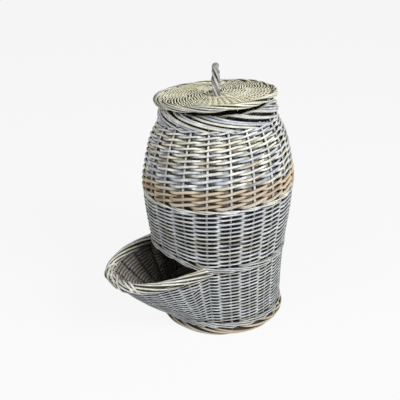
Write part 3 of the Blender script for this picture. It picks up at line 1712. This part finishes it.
@dataclass
class WovenPlate:
    """A disc woven by pairing round spokes, whose number doubles from zone to zone."""

    plate: RoundPlate
    hub: float
    edge: float
    pitch: float
    rod: float
    spoke: float
    splits: tuple[float, ...]
    stick_gaps: Range
    stick_sizes: Range
    first_spoke: float = 0.0
    stick_turn: float = 0.0
    dark: float = 0.0
    bias: float = 0.25
    twist: float = 0.52
    tones: Range = (0.0, 1.0)
    spokes: int = 12
    stick_steps: int = 61
    spoke_steps: int = 16
    spoke_radius: float = 0.45
    spoke_start: float = 0.006
    depth: float = 0.9

    def build(self, prefix: str, slot: Slot, body: Body, dresser: Dresser, rng: Random) -> None:
        """Makes the woven disc and then its sticks.

        Args:
            prefix: Start of the names of the pieces and nodes.
            slot: Material slot of the disc.
            body: Body that both ride on.
            dresser: Finishes the pieces.
            rng: Source of chance.
        """
        disc = RodBundle(f"{prefix}_rods", sides=6)
        self._weave(disc, rng)
        dresser.dress(disc, slot, [f"{prefix}_weave"], body)
        sticks = RodBundle(f"{prefix}_sticks")
        self._cross(sticks, rng)
        self._added_spokes(sticks, rng)
        nodes = numbered(f"{prefix}_split_stick", 3) + numbered(f"{prefix}_through_stick", 3)
        dresser.dress(sticks, Slot.STICK, nodes, body)

    def _weave(self, bundle: RodBundle, rng: Random) -> None:
        """Weaves evenly spaced rows, on twice the spokes beyond each split.

        Args:
            bundle: Where the rods go.
            rng: Source of chance.
        """
        rows = int((self.edge - self.hub) / self.pitch)
        radii = self.hub + (np.arange(rows) + 0.5) * (self.edge - self.hub) / rows
        limits = (0.0, *self.splits, math.inf)
        reach = 0.5 * (self.spoke + self.rod)
        looks = {"bias": self.bias, "twist": self.twist, "tones": self.tones}
        for zone, (low, high) in enumerate(zip(limits[:-1], limits[1:])):
            count = self.spokes * 2**zone
            levels = radii[(radii >= low) & (radii < high)].tolist()
            ring = StakeRing.even(count, self.first_spoke)
            weaver = Weaver(
                self.plate, ring, bundle, reach, rng, steps=8, snap=1.4, sway=0.0004, taper=0.15, **looks
            )
            weaver.pairing(levels, [self.rod] * len(levels), count)

    def _cross(self, bundle: RodBundle, rng: Random) -> None:
        """Lays three sticks across three others, each fanned into spokes past the hub.

        A stick's curve passes its row at the centre and the hub, and then a point a twelfth of a
        turn or none to its side at the edge. The second set is the first one turned by a quarter.

        Args:
            bundle: Where the sticks go.
            rng: Source of the sticks' tones.
        """
        for quarter, gap, size in zip((0.0, math.pi / 2), self.stick_gaps, self.stick_sizes):
            for row in (-1, 0, 1):
                fan = row * math.pi / 6
                tip = np.array([self.edge * math.cos(fan), self.edge * math.sin(fan)])
                bend = np.array([self.hub, row * gap])
                right = np.stack([bend, 0.5 * (bend + tip), tip])
                left = right[::-1] * np.array([-1.0, 1.0])
                course = through(np.concatenate([left, [[0.0, row * gap]], right]), self.stick_steps)
                x, y = turned(course[:, 0], course[:, 1], self.stick_turn + quarter)
                height = self.plate.rise(np.hypot(x, y))
                path = self.plate.settle(np.stack([x, y, height], axis=-1))
                tone = float(rng.random())
                bundle.rod(path, self.plate.outward(x, y), 0.5 * size, tone, self.depth, dark=self.dark)

    def _added_spokes(self, bundle: RodBundle, rng: Random) -> None:
        """Lays the spokes that start at each split, half way between those further in.

        Args:
            bundle: Where the rods go.
            rng: Source of chance.
        """
        for zone, split in enumerate(self.splits):
            count = self.spokes * 2**zone
            radius = np.linspace(split - self.spoke_start, self.edge, self.spoke_steps)
            for index in range(count):
                turn = np.full_like(radius, self.first_spoke + (index + 0.5) * TAU / count)
                path = self.plate.point(turn, radius)
                out = self.plate.outward(turn, radius)
                thick = self.spoke_radius * self.spoke
                bundle.rod(path, out, thick, float(rng.random()), self.depth, dark=self.dark)


@dataclass
class BasketBase:
    """The woven floor of the basket on its crossed sticks."""

    barrel: BarrelWall
    height: float = 0.012
    seed: int = 53

    def build(self, dresser: Dresser) -> None:
        """Makes the floor and its sticks.

        Args:
            dresser: Finishes the pieces.
        """
        woven = WovenPlate(
            RoundPlate(self.barrel.base_centre(self.height), facing=-1.0),
            hub=0.024,
            edge=0.1385,
            pitch=0.0062,
            rod=0.0042,
            spoke=0.005,
            splits=(0.062,),
            stick_gaps=(0.0092, 0.0062),
            stick_sizes=(0.008, 0.005),
        )
        woven.build("base", Slot.PALE, Body.BASKET, dresser, np.random.default_rng(self.seed))


@dataclass(frozen=True)
class UnderRing:
    """The twisted ring below the lid that keeps it in the neck."""

    seat: RoundPlate
    radius: float = 0.087
    middle: float = -0.0034
    swing: Range = (0.0026, 0.0036)
    rod: float = 0.0024
    strands: int = 4
    twists: float = 24.0
    steps: int = 480
    depth: float = 0.3

    def build(self, dresser: Dresser, rng: Random) -> None:
        """Makes the ring: each rod's centre goes round its middle line on a small oval.

        Args:
            dresser: Finishes the piece.
            rng: Source of the rods' tones.
        """
        ring = RodBundle("lid_under_rods", sides=7)
        turn = full_turn(self.steps)
        core = self.seat.at_height(turn, self.radius, self.middle)
        for strand in range(self.strands):
            spin = self.twists * turn + strand * TAU / self.strands
            radius = self.radius + self.swing[0] * np.cos(spin)
            path = self.seat.at_height(turn, radius, self.middle + self.swing[1] * np.sin(spin))
            ring.rod(path, unit(path - core), self.rod, float(rng.random()), self.depth, closed=True)
        dresser.dress(ring, Slot.LID, ["lid_under_ring"], Body.LID)


@dataclass(frozen=True)
class LoopHandle:
    """The rough loop of twisted rods on top of the lid."""

    seat: RoundPlate
    turn: float = math.radians(-37.5)
    half: tuple[Range, ...] = ((1.0, -0.12), (1.0, 0.25), (0.86, 0.62), (0.5, 0.91))
    half_span: float = 0.048
    foot: float = 0.0145
    top: float = 0.0700
    shift: Range = (0.0016, 0.0028)
    rod: float = 0.0036
    strands: int = 5
    twist: float = 0.0045
    turns: float = 2.4
    steps: int = 160
    spread: float = 1.08
    narrowing: float = 0.24
    splay: float = 0.5
    splay_top: float = 0.15
    wobble: Range = (0.35, 9.0)
    looseness: Range = (0.14, 23.0)
    knobs: Range = (0.15, 31.0)

    def build(self, dresser: Dresser, rng: Random) -> None:
        """Makes the loop.

        Its middle line passes nine knots from foot to foot. Each rod's centre goes round it on a
        circle that narrows towards the top and spreads at the feet, a little unevenly.

        Args:
            dresser: Finishes the piece.
            rng: Source of chance.
        """
        rising = [(-across, up) for across, up in self.half]
        course = through([*rising, (0.0, 1.0), *reversed(self.half)], self.steps)
        height = self.foot + (self.top - self.foot) * course[:, 1]
        heading = np.array([math.cos(self.turn), math.sin(self.turn), 0.0])
        middle = (self.half_span * course[:, 0])[:, None] * heading
        middle = middle + height[:, None] * np.array([0.0, 0.0, 1.0]) + np.array([*self.shift, 0.0])
        side = np.array([-heading[1], heading[0], 0.0])
        out = np.cross(unit(np.gradient(middle, axis=0)), side)
        way = np.linspace(0.0, 1.0, self.steps)
        narrowing = self.narrowing * np.clip(course[:, 1], 0.0, 1.0)
        spread = self.spread - narrowing + self.splay * np.clip(self.splay_top - course[:, 1], 0.0, 1.0)
        uneven = (self.wobble, self.looseness, self.knobs)
        loop = RodBundle("handle_rods")
        for strand in range(self.strands):
            phase = rng.uniform(0.0, TAU, len(uneven))
            sines = [size * np.sin(rate * way + lead) for (size, rate), lead in zip(uneven, phase)]
            turn = (self.turns * TAU * way + strand * TAU / self.strands + sines[0])[:, None]
            away = np.cos(turn) * out + np.sin(turn) * side
            reach = self.twist * spread * (1.0 + sines[1])
            path = self.seat.settle(middle + reach[:, None] * away)
            outward = self.seat.settle(away) - np.asarray(self.seat.centre)
            loop.rod(path, outward, self.rod * (1.0 + sines[2]), float(rng.random()), groove=1.0)
        dresser.dress(loop, Slot.HANDLE, ["lid_handle"], Body.LID)


@dataclass
class Lid:
    """The loose lid: woven disc, sticks, rolled edge, ring below and twisted loop handle."""

    axis_y: float
    forward: float = 0.006
    height: float = 0.547475
    lean: float = 0.11
    thickness: float = 0.012
    crown: float = 0.005
    weave_radius: float = 0.1247
    border_radius: float = 0.132
    border_middle: float = 0.0065
    border_spread: float = 0.1
    hoop_offset: float = -0.0048
    hoop_radius: float = 0.0024
    hoop_tone: float = 0.2
    hoop_steps: int = 120
    seed: int = 67
    border: RolledBorder = RolledBorder(
        rods=32,
        span=math.radians(66),
        diameter=0.0044,
        section=(
            (0.0, 0.1, 0.26, 0.42, 0.58, 0.74, 0.88, 1.0),
            (-0.0085, -0.0046, 0.0002, 0.0036, 0.0046, 0.003, -0.0015, -0.0085),
            (0.003, 0.0038, 0.0041, 0.0026, -0.0006, -0.0036, -0.0041, -0.0034),
        ),
        core=(-0.001, 0.0),
        unevenness=0.0016,
        wander=0.14,
        groove=0.9,
        tones=(0.3, 0.95),
    )

    def build(self, dresser: Dresser) -> None:
        """Makes the five pieces of the lid.

        Args:
            dresser: Finishes the pieces.
        """
        rng = np.random.default_rng(self.seed)
        handle = LoopHandle(self._plate())
        stick_turn = handle.turn + math.pi / 12
        woven = WovenPlate(
            self._plate(0.5 * self.thickness, self.crown),
            hub=0.018,
            edge=self.weave_radius,
            pitch=0.0067,
            rod=0.0034,
            spoke=0.0036,
            splits=(0.032, 0.066),
            stick_gaps=(0.0072, 0.0048),
            stick_sizes=(0.006, 0.0036),
            first_spoke=stick_turn + math.pi / 2,
            stick_turn=stick_turn,
            dark=0.9,
            bias=-0.05,
            twist=0.9,
            tones=(0.0, 0.62),
        )
        woven.build("lid", Slot.LID, Body.LID, dresser, rng)
        edge = RodBundle("lid_border_rods")
        starts = scattered(self.border.rods, self.border_spread, rng)
        self.border.lay(edge, self._on_edge, starts, rng)
        self._hoop(edge)
        dresser.dress(edge, Slot.LID, ["lid_border"], Body.LID)
        UnderRing(self._plate()).build(dresser, rng)
        handle.build(dresser, rng)

    def _plate(self, lift: float = 0.0, crown: float = 0.0) -> RoundPlate:
        """Gives the lid's own plane, which leans, at a height above the lid's seat.

        Args:
            lift: Height above the seat, square to the plane.
            crown: How much higher the middle is than the edge.

        Returns:
            The plane.
        """
        tilt = math.atan(self.lean)
        seat = Vector((0.0, self.axis_y - self.forward, self.height))
        up = Vector((-math.sin(tilt), 0.0, math.cos(tilt)))
        return RoundPlate(tuple(seat + up * lift), tilt, crown, self.weave_radius)

    def _hoop(self, bundle: RodBundle) -> None:
        """Lays the dark hoop between the weave and the rolled edge.

        Args:
            bundle: Where the rods go.
        """
        turn = full_turn(self.hoop_steps)
        path = self._on_edge(turn, self.hoop_offset, 0.0)
        out = self._plate().outward(turn, turn)
        bundle.rod(path, out, self.hoop_radius, self.hoop_tone, tall=1.3, dark=0.85, closed=True)

    def _on_edge(self, turn: Array, offset: Numbers, level: Numbers) -> Array:
        """Gives points beside the middle of the lid's rolled edge."""
        return self._plate().at_height(turn, self.border_radius + offset, self.border_middle + level)


@dataclass(frozen=True)
class Lamp:
    """A square lamp, its power in watts."""

    name: str
    place: tuple[float, float, float]
    size: float
    power: float


@dataclass
class Studio:
    """A pale floor, soft light and the camera at the photograph's angle."""

    axis_y: float
    backdrop: Colour = paint(246, 246, 246)
    floor_colour: Colour = paint(232, 232, 232)
    floor_size: float = 12.0
    floor_lines: int = 9
    floor_height: float = -0.0005
    floor_strength: float = 1.05
    floor_plainness: float = 0.93
    world_strength: float = 0.22
    lamps: tuple[Lamp, ...] = (
        Lamp("key_light", (2.2, 0.4, 2.0), 1.2, 76.0),
        Lamp("fill_light", (0.2, -2.1, 1.9), 1.4, 26.0),
    )
    distance: float = 1.5
    azimuth: float = math.radians(53.3)
    camera_height: float = 1.0328
    aim_height: float = 0.280
    sensor_width: float = 36.0
    focal_pixels: float = 697.3
    image_pixels: float = 400.0
    centre_pixels: Range = (217.9, 204.0)

    def build(self) -> None:
        """Sets up the floor, the lamps, the world and the camera."""
        self._floor()
        self._world()
        for lamp in self.lamps:
            light = bpy.data.lights.new(lamp.name, "AREA")
            light.size = lamp.size
            light.energy = lamp.power
            self._aim(linked(lamp.name, light), lamp.place)
        self._camera()
        bpy.context.scene.view_settings.view_transform = "Standard"

    def _floor(self) -> None:
        """Lays a square sheet just below z = 0 that shows the backdrop's colour and a faint shadow."""
        count = self.floor_lines
        edge = np.linspace(-0.5, 0.5, count) * self.floor_size
        x, y = np.meshgrid(edge, edge, indexing="ij")
        points = np.stack([x, y, np.full_like(x, self.floor_height)], axis=-1).reshape(-1, 3)
        i, j = np.meshgrid(np.arange(count - 1), np.arange(count - 1), indexing="ij")
        corner = (i * count + j).reshape(-1)
        faces = np.stack([corner, corner + count, corner + count + 1, corner + 1], axis=-1)
        mesh = bpy.data.meshes.new("studio_floor")
        mesh.from_pydata(points.tolist(), [], faces.tolist())
        floor = linked("studio_floor", mesh)
        mesh.materials.append(self._floor_material())

    def _floor_material(self) -> bpy.types.Material:
        """Mixes a diffuse floor with the backdrop's plain colour for rays from the camera.

        Returns:
            The material.
        """
        material = bpy.data.materials.new("studio_floor")
        material.use_nodes = True
        board = NodeBoard(material.node_tree)
        plain = board.add("ShaderNodeEmission", {"Color": self.backdrop, "Strength": self.floor_strength})
        matte = board.add("ShaderNodeBsdfDiffuse", {"Color": self.floor_colour})
        self._blend(board, self.floor_plainness, matte, plain, "ShaderNodeOutputMaterial")
        return material

    def _world(self) -> None:
        """Lights evenly from all round, and shows the backdrop's colour to the camera."""
        world = bpy.data.worlds.new("studio")
        bpy.context.scene.world = world
        world.use_nodes = True
        board = NodeBoard(world.node_tree)
        sky = board.add("ShaderNodeBackground", {"Strength": self.world_strength})
        plain = board.add("ShaderNodeBackground", {"Color": self.backdrop})
        self._blend(board, 1.0, sky, plain, "ShaderNodeOutputWorld")

    def _blend(
        self, board: NodeBoard, share: float, other: bpy.types.Node, plain: bpy.types.Node, output: str
    ) -> None:
        """Shows the plain shader to rays from the camera, from gloss and through glass.

        Args:
            board: Where the nodes go.
            share: How much of the plain shader those rays see.
            other: Shader for all other rays.
            plain: The plain shader.
            output: Type name of the output node.
        """
        path = board.add("ShaderNodeLightPath").outputs
        bright = board.math("MAXIMUM", path["Is Camera Ray"], path["Is Glossy Ray"])
        seen = board.math("MAXIMUM", bright, path["Is Transmission Ray"])
        inputs = {0: board.times(seen, share), 1: other.outputs[0], 2: plain.outputs[0]}
        board.add(output, {0: board.add("ShaderNodeMixShader", inputs).outputs[0]})

    def _aim(self, obj: bpy.types.Object, place: Sequence[float]) -> None:
        """Puts a lamp or camera in its place and turns it to the middle of the basket.

        Args:
            obj: The lamp or camera.
            place: Where it goes.
        """
        obj.location = place
        aim = Vector((0.0, self.axis_y, self.aim_height)) - obj.location
        obj.rotation_euler = aim.to_track_quat("-Z", "Y").to_euler()

    def _camera(self) -> None:
        """Stands the camera where the photograph was taken from."""
        data = bpy.data.cameras.new("camera")
        data.sensor_width = self.sensor_width
        data.lens = self.focal_pixels / self.image_pixels * self.sensor_width
        half = 0.5 * self.image_pixels
        data.shift_x = (half - self.centre_pixels[0]) / self.image_pixels
        data.shift_y = (self.centre_pixels[1] - half) / self.image_pixels
        x = self.distance * math.sin(self.azimuth)
        y = self.axis_y - self.distance * math.cos(self.azimuth)
        camera = linked("camera", data)
        self._aim(camera, (x, y, self.camera_height))
        bpy.context.scene.camera = camera


def lower_stakes(ring: StakeRing, margin: float = 1.0) -> StakeRing:
    """Sets the scoop's closer stakes between the barrel's own.

    Args:
        ring: The barrel's stakes.
        margin: Degrees past the scoop's roots that stay free of the barrel's stakes.

    Returns:
        All stakes of the lower wall, from the scoop's -X side round the back.
    """
    half = math.degrees(SCOOP_HALF)
    close = [math.radians(angle) for angle in np.arange(-half, half + margin, SCOOP_STEP)]
    clear = half + margin
    far = [angle for angle in ring.angles if clear < math.degrees(angle) % 360.0 < 360.0 - clear]
    return StakeRing(tuple(close + sorted(angle % TAU for angle in far)))


def main() -> None:
    """Builds the basket piece by piece, then the studio."""
    logging.basicConfig(level=logging.INFO, format="%(name)s: %(message)s")
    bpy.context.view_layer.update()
    neck_low, neck_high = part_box("neck_border")
    axis_y = 0.5 * (neck_low.y + neck_high.y)
    barrel = BarrelWall(axis_y)
    lower = LowerWall(barrel, UpsettWall(barrel))
    ring = StakeRing.even(STAKE_COUNT, math.radians(SCOOP_STEP))
    lower_ring = lower_stakes(ring)
    dresser = Dresser.prepared()
    BasketBase(barrel).build(dresser)
    SideStakes(barrel, lower, ring, lower_ring).build(dresser)
    LowerSide(barrel, lower, ring, lower_ring).build(dresser)
    BarrelSide(barrel, lower, ring).build(dresser)
    Borders(barrel, lower).build(dresser)
    Lid(axis_y).build(dresser)
    Studio(axis_y).build()


if __name__ == "__main__":
    main()
